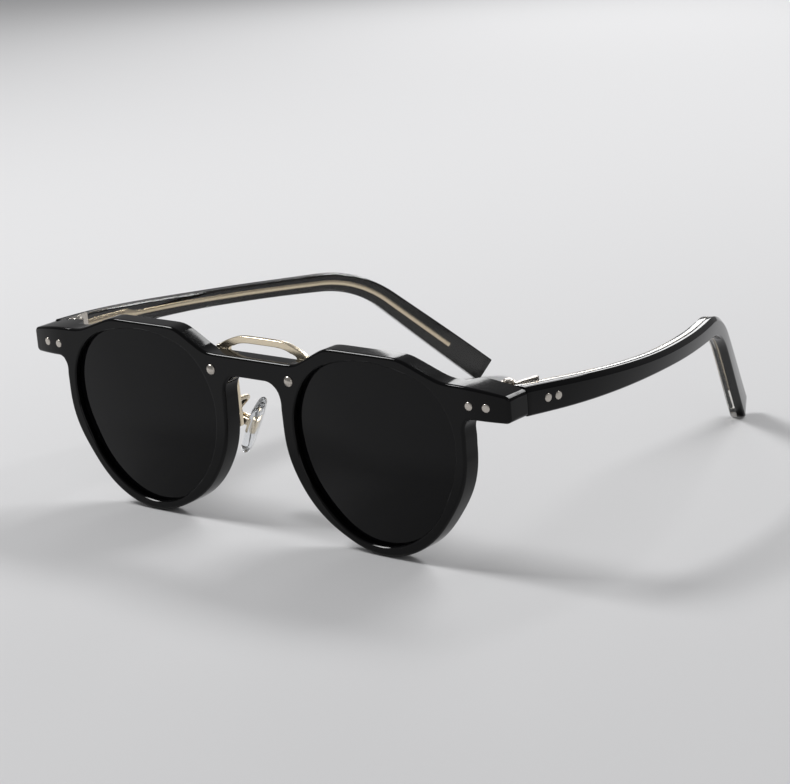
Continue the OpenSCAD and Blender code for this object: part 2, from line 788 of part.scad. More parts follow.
front_frame();
left_lens();
right_lens();
nose_bridge();
bridge_rivets();
left_pad_arm();
right_pad_arm();
left_nose_pad();
right_nose_pad();
left_pad_mount();
right_pad_mount();
left_pad_screw();
right_pad_screw();
left_front_hinge();
right_front_hinge();
left_temple_hinge();
right_temple_hinge();
left_hinge_screw();
right_hinge_screw();
left_endpiece_rivets();
right_endpiece_rivets();
left_temple();
right_temple();
left_temple_liner();
right_temple_liner();
left_core_wire();
right_core_wire();
left_temple_rivets();
right_temple_rivets();
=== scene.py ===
"""Looks of a pair of sunglasses: black acetate front, metal arch, clear pads, cored temples.

All shapes are worked out in millimetres in the plane of the front: x across, y from
the front face towards the wearer, z up the front. PLANE leans them onto the floor and
turns them to metres. Every piece is drawn for the wearer's left (+X) and mirrored.
"""

import logging
import math
from dataclasses import dataclass
from enum import Enum
from typing import Callable, Sequence

import bmesh
import bpy
from mathutils import Matrix, Vector


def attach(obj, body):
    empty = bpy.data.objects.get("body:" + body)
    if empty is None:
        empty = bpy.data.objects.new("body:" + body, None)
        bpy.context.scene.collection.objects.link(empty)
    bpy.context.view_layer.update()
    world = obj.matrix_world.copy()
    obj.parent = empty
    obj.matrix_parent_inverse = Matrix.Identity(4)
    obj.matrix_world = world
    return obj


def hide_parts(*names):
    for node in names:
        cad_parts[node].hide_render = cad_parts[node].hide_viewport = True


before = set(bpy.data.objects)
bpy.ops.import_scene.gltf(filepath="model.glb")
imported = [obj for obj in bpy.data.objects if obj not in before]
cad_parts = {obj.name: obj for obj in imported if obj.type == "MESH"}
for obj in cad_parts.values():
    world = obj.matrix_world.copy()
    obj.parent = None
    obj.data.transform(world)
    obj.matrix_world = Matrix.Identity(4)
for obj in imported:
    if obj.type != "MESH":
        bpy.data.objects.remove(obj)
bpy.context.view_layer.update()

log = logging.getLogger("sunglasses")
Triple = tuple[float, float, float]
Points = Sequence[Vector]
Solid = bmesh.types.BMesh


class Side(Enum):
    """The wearer's left lies on +X and the wearer's right on -X."""

    LEFT = 1
    RIGHT = -1

    @property
    def word(self) -> str:
        """The side's word in the names of nodes."""
        return self.name.lower()


class Cut(Enum):
    """How one solid changes another."""

    JOIN = "UNION"
    AWAY = "DIFFERENCE"


# ---- sizes


@dataclass(frozen=True)
class FrontSizes:
    """Sizes of the black front and the lenses, in millimetres."""

    width: float = 144.0
    crown: float = 46.0
    depth: float = 4.8
    end_top: float = 42.0
    end_low: float = 34.8
    end_drop: float = 0.2
    end_round: float = 1.2
    end_fall: float = 1.6
    fall_from: float = 58.5
    end_depth: float = 7.7
    sweep_from: float = 60.5
    sweep: float = 1.6
    bridge_top: float = 41.0
    bridge_low: float = 36.2
    nose: float = 8.6
    bridge_rivet_out: float = 3.25
    bridge_rivet_drop: float = 1.4
    end_rivets_in: tuple[float, float] = (9.7, 5.45)
    end_rivets_drop: float = 0.6
    bevel: float = 0.7
    back_bevel: float = 0.4
    lens_w: float = 45.6
    lens_h: float = 42.0
    lens_x: float = 34.8
    lens_z: float = 23.2
    rim_side: float = 2.6
    lens_t: float = 2.0
    lens_set: float = 1.5
    dome: float = 1.0
    groove: float = 0.8
    rim_bevel: float = 0.5
    fit: float = 0.1

    @property
    def half(self) -> float:
        """Half of the width."""
        return self.width / 2

    @property
    def rim_x(self) -> float:
        """Where the rim ends and the endpiece begins."""
        return self.lens_x + self.lens_w / 2 + self.rim_side

    @property
    def end_z(self) -> float:
        """Middle height of the endpieces."""
        return (self.end_top + self.end_low) / 2

    @property
    def end_rivets(self) -> tuple[float, float]:
        """How far out the two rivets of an endpiece sit."""
        return self.half - self.end_rivets_in[0], self.half - self.end_rivets_in[1]

    @property
    def end_corners(self) -> list[Triple]:
        """The outer corners of an endpiece, from below upwards."""
        r = self.end_round
        return [(self.half, self.end_low - self.end_drop, r), (self.half, self.end_top, r)]

    @property
    def bridge_rivet(self) -> tuple[float, float]:
        """Place of the rivet that holds the arch, as x and z."""
        middle = (self.bridge_top + self.bridge_low) / 2
        return self.nose + self.bridge_rivet_out, middle - self.bridge_rivet_drop

    def swept(self, x: float) -> float:
        """How far the front face has curved back at a distance from the middle."""
        part = max(0.0, (abs(x) - self.sweep_from) / (self.half - self.sweep_from))
        return self.sweep * part * part

    def fallen(self, x: float) -> float:
        """How far the endpiece's top has come down at a distance from the middle."""
        part = max(0.0, (abs(x) - self.fall_from) / (self.half - self.fall_from))
        return self.end_fall * part * part

    def by_lens(self, u: float, v: float, r: float) -> Triple:
        """Corner and radius near a lens, all in halves of the lens."""
        half = self.lens_w / 2
        return self.lens_x + u * half, self.lens_z + v * self.lens_h / 2, r * half


@dataclass(frozen=True)
class TempleSizes:
    """Sizes of a temple, in millimetres and degrees."""

    length: float = 146.0
    run: float = 87.0
    bend: float = 21.5
    root_h: float = 6.4
    root_run: float = 55.0
    mid_h: float = 4.2
    tip_h: float = 6.9
    tip_from: float = 70.0
    outer: float = 2.1
    liner: float = 1.8
    top_bevel: float = 1.1
    side_bevel: float = 0.35
    splay: float = 10.0
    tuck: float = 24.0
    bow: float = 48.0
    run_fall: float = 4.6
    tip_fall: float = 42.0
    straight: float = 10.0
    joint_y: float = 7.95
    start_low: float = 0.6
    start_in: float = 0.1
    core_t: float = 1.0
    plate_h: float = 3.4
    wire_h: float = 1.4
    plate_at: float = 3.4
    fan_at: float = 24.0
    fan: float = 5.0
    tip: float = 13.0
    wire_end: float = 0.7
    rivets: tuple[float, float] = (6.3, 9.3)

    def heading(self, at: float) -> float:
        """Inward turn of the path at a length, in radians."""
        c = max(0.0, at - self.straight) / (self.length - self.straight)
        return math.radians(-self.splay + (self.splay + self.tuck) * c + self.bow * c * (1 - c))

    def slope(self, at: float) -> float:
        """Downward slope of the path at a length, in radians."""
        part = max(0.0, min(1.0, (at - self.run) / self.bend))
        return math.radians(self.run_fall + (self.tip_fall - self.run_fall) * part)

    def height(self, at: float) -> float:
        """Height of a temple at a length."""
        last = ease((at - self.tip_from) / (self.length - self.tip_from))
        root = (self.root_h - self.mid_h) * (1 - ease(at / self.root_run))
        return self.mid_h + root + (self.tip_h - self.mid_h) * last


FRONT = FrontSizes()
TEMPLE = TempleSizes()
ON_FRONT, ON_TEMPLE, ON_PAD = "front", "{}_temple", "{}_pad"
NEAR = 1e-4
ARC_STEPS = 9
LATHE_STEPS = 48

LEAN = math.radians(2.17707)
STAND = Matrix.Translation((0.0, -68.2097, 0.124106)) @ Matrix.Rotation(LEAN, 4, "X")
PLANE = Matrix.Scale(0.001, 4) @ STAND
FLIP = Matrix.Scale(-1.0, 4, Vector((1.0, 0.0, 0.0)))


# ---- small geometry


def ease(u: float) -> float:
    """Smooth step from 0 to 1."""
    t = max(0.0, min(1.0, u))
    return t * t * (3 - 2 * t)


def corner_arc(a: Vector, b: Vector, c: Vector, r: float, steps: int) -> Points:
    """Rounds one corner of an outline.

    Args:
        a: The corner before it.
        b: The corner itself.
        c: The corner after it.
        r: Radius of the rounding in millimetres.
        steps: Steps along the arc.

    Returns:
        The points of the arc, as (x, z).
    """
    u, v = (a - b).normalized(), (c - b).normalized()
    half = math.acos(max(-1.0, min(1.0, u.dot(v)))) / 2
    t = min(r / math.tan(half), 0.499 * min((a - b).length, (c - b).length))
    radius = t * math.tan(half)
    mid = b + (u + v).normalized() * radius / math.sin(half)
    p0, p1 = b + u * t - mid, b + v * t - mid
    a0 = math.atan2(p0.y, p0.x)
    turn = (math.atan2(p1.y, p1.x) - a0 + math.pi) % (2 * math.pi) - math.pi
    angles = [a0 + turn * i / steps for i in range(steps + 1)]
    return [mid + radius * Vector((math.cos(w), math.sin(w))) for w in angles]


def outline(corners: Sequence[Triple], steps: int) -> Points:
    """Rounded outline through corners.

    Args:
        corners: Corners as x, z and radius, anticlockwise seen from the front.
        steps: Steps along each corner's arc.

    Returns:
        Points as (x, z).
    """
    flat = [Vector(c[:2]) for c in corners]
    points: list[Vector] = []
    for i, c in enumerate(corners):
        points += corner_arc(flat[i - 1], flat[i], flat[(i + 1) % len(flat)], c[2], steps)
    return points


def at_depth(points: Points, y: float) -> Points:
    """Stands an outline up at depth y behind the front face."""
    return [Vector((p.x, y, p.y)) for p in points]


def shrunk(points: Points, k: float, mid: Vector) -> Points:
    """Shrinks an outline towards a middle."""
    return [mid + k * (p - mid) for p in points]


def dense(points: Points, step: float) -> Points:
    """Adds points along the straights of a closed outline.

    Args:
        points: The outline.
        step: Distance between points in millimetres.

    Returns:
        The denser outline.
    """
    out: list[Vector] = []
    for i, a in enumerate(points):
        b = points[(i + 1) % len(points)]
        gap = (b - a).length
        if gap > 0.02:
            count = max(1, round(gap / step))
            out += [a.lerp(b, k / count) for k in range(count)]
    return out


def eased(points: Points, wide: float, where: Callable[[Vector], bool]) -> Points:
    """Evens out a closed outline so that its curvature changes gently.

    Args:
        points: The outline, with its points close together.
        wide: Half width of the weighting along the outline, in millimetres.
        where: Tells whether a point may move.

    Returns:
        The outline, smoothed where it may move.
    """
    size = len(points)
    steps = [(points[(i + 1) % size] - p).length for i, p in enumerate(points)]
    out = []
    for i, p in enumerate(points):
        total, weight = p * steps[i], steps[i]
        for way in (1, -1):
            run, j = 0.0, i
            while where(p):
                run += steps[j] if way == 1 else steps[j - 1]
                j = (j + way) % size
                if run > 2 * wide:
                    break
                w = math.exp(-2 * (run / wide) ** 2) * (steps[j] + steps[j - 1]) / 2
                total += w * points[j]
                weight += w
        out.append(total / weight)
    return out


def moved_out(points: Points, grow: float) -> Points:
    """Moves a closed outline outwards, point by point.

    Args:
        points: The outline.
        grow: How far it is moved, in millimetres; inwards below zero.

    Returns:
        As many points, moved.
    """
    out = []
    for i, p in enumerate(points):
        way = (points[(i + 1) % len(points)] - points[i - 1]).normalized()
        out.append(p + grow * Vector((way.y, -way.x)))
    return out


def rounding(width: float, steps: int) -> list[tuple[float, float]]:
    """Offsets inwards and depths of a rounded edge, from the face to the side."""
    angles = [math.pi / 2 * i / steps for i in range(steps + 1)]
    return [(-width * (1 - math.sin(w)), width * (1 - math.cos(w))) for w in angles]


def both_halves(half: Sequence[Triple]) -> list[Triple]:
    """Adds the mirror image of a half outline in reverse order."""
    return list(half) + [(-x, z, r) for x, z, r in reversed(half)]


def front_corners() -> list[Triple]:
    """Corners of the front as x, z and radius, from the nose down and round to the bridge."""
    f, top = FRONT, (FRONT.crown - FRONT.lens_z) * 2 / FRONT.lens_h
    return both_halves([
        (f.nose, f.bridge_low, 4.5),
        (f.nose, f.lens_z - 0.0845 * f.lens_h, 21.0),
        f.by_lens(-0.815, -0.787, 1.136),
        f.by_lens(-0.047, -1.184, 1.096),
        f.by_lens(0.623, -0.951, 1.049),
        (f.rim_x + f.rim_side * 0.23, f.lens_z - 0.0785 * f.lens_h, 21.0),
        (f.rim_x, f.end_low, 2.6),
        *f.end_corners,
        f.by_lens(0.88, (f.end_top - f.lens_z) * 2 / f.lens_h, 0.518),
        f.by_lens(0.4, top, 0.232),
        f.by_lens(-0.53, top, 0.232),
        (f.nose + 5.0, f.bridge_top, 5.0),
    ])


def lens_corners() -> list[Triple]:
    """Corners of a lens, as x, z and radius in millimetres."""
    return [FRONT.by_lens(*p) for p in (
        (-0.36, -1.0, 0.877), (0.27, -1.01, 0.877), (0.74, -0.63, 0.877), (0.99, -0.06, 0.702),
        (1.03, 0.42, 0.658), (0.77, 0.86, 0.57), (-0.06, 1.05, 2.63), (-0.765, 0.835, 0.57),
        (-1.03, 0.3, 0.658), (-0.93, -0.4, 0.965),
    )]


def lens_shape() -> Points:
    """Outline of a lens, evened out."""
    return eased(dense(outline(lens_corners(), 8), 0.9), 4.5, lambda p: True)


# ---- mesh operators


def loft(rings: Sequence[Points]) -> Solid:
    """Extrudes a face from ring to ring.

    Args:
        rings: Rings of equal count, in order along the piece.

    Returns:
        A closed bmesh.
    """
    bm = bmesh.new()
    loop = [bm.verts.new(p) for p in rings[0]]
    bm.faces.new(loop)
    edges = list(bm.edges)
    for ring in rings[1:]:
        places = {v.co.to_tuple(9): i for i, v in enumerate(loop)}
        made = bmesh.ops.extrude_edge_only(bm, edges=edges)["geom"]
        fresh = [g for g in made if isinstance(g, bmesh.types.BMVert)]
        loop = sorted(fresh, key=lambda v: places[v.co.to_tuple(9)])
        new = set(loop)
        edges = [
            g for g in made
            if isinstance(g, bmesh.types.BMEdge) and g.verts[0] in new and g.verts[1] in new
        ]
        for v, p in zip(loop, ring):
            v.co = p
    bm.faces.new(reversed(loop))
    bmesh.ops.recalc_face_normals(bm, faces=bm.faces)
    return bm


def slab(points: Points, y0: float, y1: float) -> Solid:
    """Extrudes an outline from depth y0 to depth y1."""
    return loft([at_depth(points, y0), at_depth(points, y1)])


def lathe(profile: Sequence[tuple[float, float]]) -> Solid:
    """Spins a profile about the y axis.

    Args:
        profile: Points as radius and y, the first and last on the axis.

    Returns:
        A closed bmesh.
    """
    bm = bmesh.new()
    verts = [bm.verts.new((r, y, 0.0)) for r, y in profile]
    edges = [bm.edges.new(pair) for pair in zip(verts, verts[1:])]
    bmesh.ops.spin(
        bm, geom=verts + edges, axis=(0, 1, 0), cent=(0, 0, 0),
        angle=math.tau, steps=LATHE_STEPS, use_merge=True,
    )
    bmesh.ops.remove_doubles(bm, verts=bm.verts, dist=1e-5)
    bmesh.ops.recalc_face_normals(bm, faces=bm.faces)
    return bm


def sharp_edges(bm: Solid, degrees: float) -> list[bmesh.types.BMEdge]:
    """Edges whose faces meet at more than some angle."""
    limit = math.radians(degrees)
    return [e for e in bm.edges if e.is_manifold and e.calc_face_angle(0.0) > limit]


def soften(bm: Solid, edges: Sequence[bmesh.types.BMEdge], width: float, steps: int = 2) -> None:
    """Bevels edges with a rounded profile.

    Args:
        bm: The solid.
        edges: The edges.
        width: Width of the bevel.
        steps: Steps across it.
    """
    if edges:
        bmesh.ops.bevel(
            bm, geom=list(edges), offset=width, offset_type="OFFSET", segments=steps,
            profile=0.5, affect="EDGES", clamp_overlap=True, material=-1,
        )


def trim(bm: Solid, point: Sequence[float], away: Sequence[float]) -> None:
    """Cuts off what lies beyond a plane and closes the cut.

    Args:
        bm: The solid.
        point: A point of the plane.
        away: Direction in which material is removed.
    """
    made = bmesh.ops.bisect_plane(
        bm, geom=[*bm.verts, *bm.edges, *bm.faces], plane_co=point, plane_no=away,
        clear_outer=True, dist=1e-5,
    )
    edges = [g for g in made["geom_cut"] if isinstance(g, bmesh.types.BMEdge)]
    bmesh.ops.edgeloop_fill(bm, edges=edges)
    bmesh.ops.recalc_face_normals(bm, faces=bm.faces)


def absorb(bm: Solid, other: Solid) -> None:
    """Adds another solid's mesh as it is.

    Args:
        bm: The solid that is added to.
        other: The other solid; it is freed.
    """
    mesh = bpy.data.meshes.new("absorb")
    other.to_mesh(mesh)
    other.free()
    bm.from_mesh(mesh)
    bpy.data.meshes.remove(mesh)


def add_object(name: str, data: bpy.types.ID) -> bpy.types.Object:
    """Adds an object to the scene."""
    made = bpy.data.objects.new(name, data)
    bpy.context.scene.collection.objects.link(made)
    return made


def carve(bm: Solid, other: Solid, how: Cut) -> Solid:
    """Joins or cuts two solids and frees both.

    Args:
        bm: The solid that is changed.
        other: The solid that changes it.
        how: Whether it is joined on or cut away.

    Returns:
        The new solid.
    """
    objects = []
    for solid in (bm, other):
        mesh = bpy.data.meshes.new("carve")
        solid.to_mesh(mesh)
        solid.free()
        objects.append(add_object("carve", mesh))
    base, tool = objects
    modifier = base.modifiers.new("carve", "BOOLEAN")
    modifier.object, modifier.operation, modifier.solver = tool, how.value, "EXACT"
    graph = bpy.context.evaluated_depsgraph_get()
    made = bmesh.new()
    made.from_mesh(base.evaluated_get(graph).to_mesh())
    for obj in objects:
        mesh = obj.data
        bpy.data.objects.remove(obj)
        bpy.data.meshes.remove(mesh)
    return made


def cad_copy(node: str, width: float) -> Solid:
    """Fine copy of a CAD node with merged corners and softened edges.

    Args:
        node: The CAD node.
        width: Bevel width in millimetres.

    Returns:
        The copy in metres, in the row frame.
    """
    bm = bmesh.new()
    bm.from_mesh(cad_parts[node].data)
    bmesh.ops.remove_doubles(bm, verts=bm.verts, dist=2e-6)
    bmesh.ops.dissolve_limit(bm, angle_limit=math.radians(0.5), verts=bm.verts, edges=bm.edges)
    soften(bm, sharp_edges(bm, 40), width / 1000)
    return bm


# ---- finishes


def linear(code: str) -> tuple[float, ...]:
    """Turns an sRGB hex colour into Blender's linear colour."""
    parts = [int(code[i : i + 2], 16) / 255 for i in (1, 3, 5)]
    return *(c / 12.92 if c <= 0.04045 else ((c + 0.055) / 1.055) ** 2.4 for c in parts), 1.0


def fresh_tree(owner: bpy.types.Material | bpy.types.World) -> bpy.types.NodeTree:
    """Empties the node tree of a material or of the world."""
    owner.use_nodes = True
    owner.node_tree.nodes.clear()
    return owner.node_tree


def add_node(
    tree: bpy.types.NodeTree, kind: str,
    links: dict[str, bpy.types.NodeSocket] | None = None,
    values: dict[str, object] | None = None,
) -> bpy.types.Node:
    """Adds one node.

    Args:
        tree: The node tree.
        kind: The node's type.
        links: Sockets that feed its inputs, by input name.
        values: Plain values of its inputs, by input name.

    Returns:
        The node.
    """
    made = tree.nodes.new(kind)
    for key, value in (values or {}).items():
        made.inputs[key].default_value = value
    for key, socket in (links or {}).items():
        tree.links.new(socket, made.inputs[key])
    return made


@dataclass(frozen=True)
class Finish:
    """A surface finish and the slot that it stands for.

    Attributes:
        name: Name of the real material.
        slot: The record's material slot; not used.
        color: Base colour as sRGB hex.
        rough: Mean roughness.
        vary: How much the roughness varies.
        grain: Size of the variation in millimetres, along x, y and z.
        metal: Whether it is bare metal.
        clear: How much light passes through.
        ior: Index of refraction; metals keep the shader's own.
        gloss: Strength of the mirror layer, 0.5 for an uncoated surface.
        relief: Depth of the grain's relief in millimetres.
    """

    name: str
    slot: str
    color: str
    rough: float
    vary: float
    grain: Triple
    metal: bool = False
    clear: float = 0.0
    ior: float = 1.5
    gloss: float = 0.5
    relief: float = 0.0

    def material(self) -> bpy.types.Material:
        """Makes the material, unless it was made before.

        Returns:
            The material.
        """
        known = bpy.data.materials.get(self.name)
        if known:
            return known
        made = bpy.data.materials.new(self.name)
        tree = fresh_tree(made)
        place = add_node(tree, "ShaderNodeTexCoord").outputs["Object"]
        scaled = add_node(
            tree, "ShaderNodeMapping", {"Vector": place},
            {"Scale": tuple(1000 / g for g in self.grain)},
        ).outputs["Vector"]
        noise = add_node(
            tree, "ShaderNodeTexNoise", {"Vector": scaled},
            {"Scale": 1.0, "Detail": 3.0, "Roughness": 0.55},
        ).outputs["Fac"]
        rough = add_node(
            tree, "ShaderNodeMapRange", {"Value": noise},
            {"From Min": 0.3, "From Max": 0.7, "To Min": self.rough - self.vary,
             "To Max": self.rough + self.vary},
        ).outputs["Result"]
        values: dict[str, object] = {"Base Color": linear(self.color)}
        if self.metal:
            values["Metallic"] = 1.0
        else:
            values["IOR"] = self.ior
            values["Specular IOR Level"] = self.gloss
        if self.clear:
            values["Transmission Weight"] = self.clear
        links = {"Roughness": rough}
        if self.relief:
            links["Normal"] = add_node(
                tree, "ShaderNodeBump", {"Height": noise},
                {"Strength": 1.0, "Distance": self.relief / 1000},
            ).outputs["Normal"]
        shader = add_node(tree, "ShaderNodeBsdfPrincipled", links, values)
        add_node(tree, "ShaderNodeOutputMaterial", {"Surface": shader.outputs["BSDF"]})
        made.diffuse_color = linear(self.color)
        return made


# Black acetate with a deep gloss, faintly uneven from polishing by hand.
BLACK_ACETATE = Finish(
    "Black acetate, polished", "black_acetate", "#050506", 0.07, 0.02, (9.0, 9.0, 9.0),
    ior=1.45, gloss=0.22,
)
# Near black lens, smooth as a mirror; hardly any light goes through.
SMOKED_LENS = Finish(
    "Smoked lens", "smoke_lens", "#060608", 0.03, 0.01, (20.0, 20.0, 20.0),
    clear=0.3, ior=1.45, gloss=0.12,
)
CLEAR_ACETATE = Finish(
    "Clear acetate, polished", "clear_acetate", "#f6f3ed", 0.05, 0.02, (7.0, 7.0, 7.0),
    clear=1.0, ior=1.49,
)
CLEAR_PAD = Finish(
    "Clear pad plastic", "clear_pad", "#eef0f2", 0.08, 0.03, (4.0, 4.0, 4.0), clear=1.0, ior=1.43
)
# Warm pale metal with fine brushing along its length.
CHAMPAGNE = Finish(
    "Champagne plated nickel silver", "champagne_metal", "#eadcc2", 0.22, 0.05,
    (3.0, 0.25, 0.12), metal=True, relief=0.002,
)
NICKEL = Finish(
    "Nickel silver, satin", "silver_metal", "#c4beb6", 0.26, 0.05, (0.5, 0.5, 0.5),
    metal=True, relief=0.002,
)


# ---- pieces


def publish(
    bm: Solid, name: str, body: str, nodes: Sequence[str], finish: Finish,
    sharp: float = 32.0, even: bool = False,
) -> None:
    """Turns a finished mesh into a piece of the model.

    Args:
        bm: The mesh in metres, in the row frame; it is freed.
        name: Name of the piece.
        body: The CAD body that it rides on.
        nodes: The CAD nodes that it stands for.
        finish: Its finish.
        sharp: Edges above this angle in degrees stay crisp.
        even: Whether large faces set the shading of their corners.
    """
    bm.normal_update()
    bmesh.ops.recalc_face_normals(bm, faces=bm.faces)
    mesh = bpy.data.meshes.new(name)
    bm.to_mesh(mesh)
    bm.free()
    mesh.shade_smooth()
    mesh.set_sharp_from_angle(angle=math.radians(sharp))
    mesh.materials.append(finish.material())
    piece = add_object(name, mesh)
    if even:
        piece.modifiers.new("even shading", "WEIGHTED_NORMAL").keep_sharp = True
    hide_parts(*nodes)
    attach(piece, body)
    log.info("%s: %d faces on %s", name, len(mesh.polygons), body)


def publish_pair(
    make: Callable[[], Solid], name: str, body: str, nodes: Sequence[str], finish: Finish,
    sharp: float = 32.0,
) -> None:
    """Publishes a piece for the left and its mirror image for the right.

    Args:
        make: Makes the left piece in the plane of the front.
        name: Name of the piece without its side.
        body: The body, with braces in place of the side.
        nodes: The CAD nodes without their side.
        finish: Its finish.
        sharp: Edges above this angle in degrees stay crisp.
    """
    for side in Side:
        bm = make()
        bm.transform(PLANE if side is Side.LEFT else PLANE @ FLIP)
        names, on = [f"{side.word}_{n}" for n in nodes], body.format(side.word)
        publish(bm, f"{side.word}_{name}", on, names, finish, sharp)


def publish_copy(
    side: Side, node: str, name: str, body: str, finish: Finish, width: float, even: bool = False
) -> None:
    """Publishes the softened copy of a side's CAD node."""
    full, on = f"{side.word}_{node}", body.format(side.word)
    publish(cad_copy(full, width), f"{side.word}_{name}", on, [full], finish, 30.0, even)


@dataclass(frozen=True)
class RimFront:
    """The black front: rims, bridge and endpieces in one piece, in millimetres."""

    step: float = 0.6
    rim_even: float = 5.0
    crown_even: float = 2.6
    crown_clear: float = 6.0
    fillet_even: float = 1.6
    fillet_half: float = 3.0
    end_gap: float = 4.0
    ramp: float = 1.6
    land: float = 0.8
    root: float = 1.0
    crisp: float = 0.1
    pocket_side: float = 1.52
    pocket_half: float = 2.72
    pocket_deep: float = 0.9
    slices: int = 10
    sweep_deep: float = 0.7

    def face(self) -> Solid:
        """Left half of the flat front with rounded front and back edges.

        Returns:
            A closed bmesh.
        """
        f = FRONT
        low, high = f.end_low - self.end_gap, f.end_low + self.end_gap
        inside = f.half - self.crown_clear
        shape = dense(outline(front_corners(), ARC_STEPS), self.step)
        shape = eased(shape, self.rim_even, lambda p: p.y < low)
        shape = eased(shape, self.crown_even, lambda p: p.y > high and abs(p.x) < inside)
        shape = eased(shape, self.fillet_even, lambda p: abs(p.y - low) < self.fillet_half)
        rings = rounding(f.bevel, 4)
        rings += [(g, f.depth - y) for g, y in reversed(rounding(f.back_bevel, 3))]
        bm = loft([at_depth(moved_out(shape, g), y) for g, y in rings])
        trim(bm, (0.0, 0.0, 0.0), (-1.0, 0.0, 0.0))
        return bm

    def endpiece(self) -> Solid:
        """The thicker end that carries the hinge, with its ramp towards the rim.

        Returns:
            A closed bmesh.
        """
        f, crisp = FRONT, self.crisp
        low, top, inner = f.depth - self.root, f.end_depth - self.land, f.rim_x - 2 * self.ramp
        corners = [(inner, f.end_low, crisp), (f.rim_x, f.end_low, crisp)]
        corners += [*f.end_corners, (inner, f.end_top, crisp)]
        bm = slab(outline(corners, 8), low, f.end_depth)
        trim(bm, (f.rim_x, top, 0.0), (low - top, self.ramp, 0.0))
        trim(bm, (f.rim_x, top, 0.0), (-1.0, 1.0, 0.0))
        rim = [e for e in sharp_edges(bm, 20) if min(v.co.y for v in e.verts) > low + crisp]
        soften(bm, rim, f.back_bevel)
        return bm

    def opening(self) -> Solid:
        """Cutter of a rim's opening, rounded in front and behind, with the lens groove.

        Returns:
            A closed bmesh.
        """
        f = FRONT
        mid, half, back = f.lens_set + f.lens_t / 2, f.lens_t / 2 + f.fit, f.rim_bevel / 2
        rings = [(f.rim_bevel, -1.0)]
        rings += [(-g, y) for g, y in rounding(f.rim_bevel, 3)]
        rings += [(0.0, mid - half), (f.groove, mid), (0.0, mid + half)]
        rings += [(-g, f.depth - y) for g, y in reversed(rounding(back, 3))]
        rings += [(back, f.depth + 1.0)]
        return loft([at_depth(moved_out(lens_shape(), g), y) for g, y in rings])

    def pocket(self) -> Solid:
        """Cutter of the pocket that the hinge leaf is let into.

        Returns:
            A closed bmesh.
        """
        f, side, half = FRONT, self.pocket_side, self.pocket_half
        x0, x1 = f.end_rivets[0] - side, f.end_rivets[1] + side
        z0, z1 = f.end_z - half, f.end_z + half
        shape = [Vector(p) for p in ((x0, z0), (x1, z0), (x1, z1), (x0, z1))]
        return slab(shape, f.end_depth - self.pocket_deep, f.end_depth + 1.0)

    def shape_end(self, bm: Solid) -> None:
        """Curves the endpiece's face back towards its end and lets its top edge fall.

        Args:
            bm: The left half of the front.
        """
        f, fade = FRONT, FRONT.depth + self.sweep_deep
        for i in range(self.slices):
            x = f.fall_from + i * (f.half - f.fall_from) / self.slices
            bmesh.ops.bisect_plane(
                bm, geom=[*bm.verts, *bm.edges, *bm.faces], plane_co=(x, 0, 0),
                plane_no=(1, 0, 0), dist=NEAR,
            )
        for v in bm.verts:
            part = (v.co.z - f.end_low) / (f.end_top - f.end_low)
            v.co.z -= f.fallen(v.co.x) * max(0.0, min(1.0, part))
            v.co.y += f.swept(v.co.x) * max(0.0, 1 - v.co.y / fade)

    def build(self) -> None:
        """Makes the front from its left half."""
        bm = carve(self.face(), self.endpiece(), Cut.JOIN)
        bm = carve(bm, self.opening(), Cut.AWAY)
        self.shape_end(bm)
        bm = carve(bm, self.pocket(), Cut.AWAY)
        seam = [g for g in bm.faces if all(abs(v.co.x) < NEAR for v in g.verts)]
        bmesh.ops.delete(bm, geom=seam, context="FACES")
        other = bm.copy()
        other.transform(FLIP)
        bmesh.ops.reverse_faces(other, faces=other.faces)
        absorb(bm, other)
        middle = [v for v in bm.verts if abs(v.co.x) < NEAR]
        bmesh.ops.remove_doubles(bm, verts=middle, dist=NEAR)
        bm.transform(PLANE)
        publish(bm, "rim_front", "front", ["front_frame"], BLACK_ACETATE, 30.0, even=True)


@dataclass(frozen=True)
class Lenses:
    """The two dark lenses, domed by rings of some sizes, with the ridge for the groove."""

    levels: tuple[float, ...] = (0.08, 0.22, 0.36, 0.5, 0.64, 0.76, 0.87, 0.95)

    def domed(self, edge: Points, y: float) -> list[Points]:
        """Rings of a domed face, from its middle towards its edge at depth y."""
        f, mid = FRONT, Vector((FRONT.lens_x, FRONT.lens_z))
        return [at_depth(shrunk(edge, k, mid), y - f.dome * (1 - k * k)) for k in self.levels]

    def lens(self) -> Solid:
        """The left lens.

        Returns:
            A closed bmesh.
        """
        f, back = FRONT, FRONT.lens_set + FRONT.lens_t
        edge = moved_out(lens_shape(), -f.fit)
        ridge = moved_out(lens_shape(), f.groove - f.fit)
        rings = [*self.domed(edge, f.lens_set), at_depth(edge, f.lens_set)]
        rings += [at_depth(ridge, f.lens_set + f.lens_t / 2), at_depth(edge, back)]
        return loft([*rings, *reversed(self.domed(edge, back))])

    def build(self) -> None:
        """Makes both lenses."""
        publish_pair(self.lens, "dark_lens", ON_FRONT, ["lens"], SMOKED_LENS)


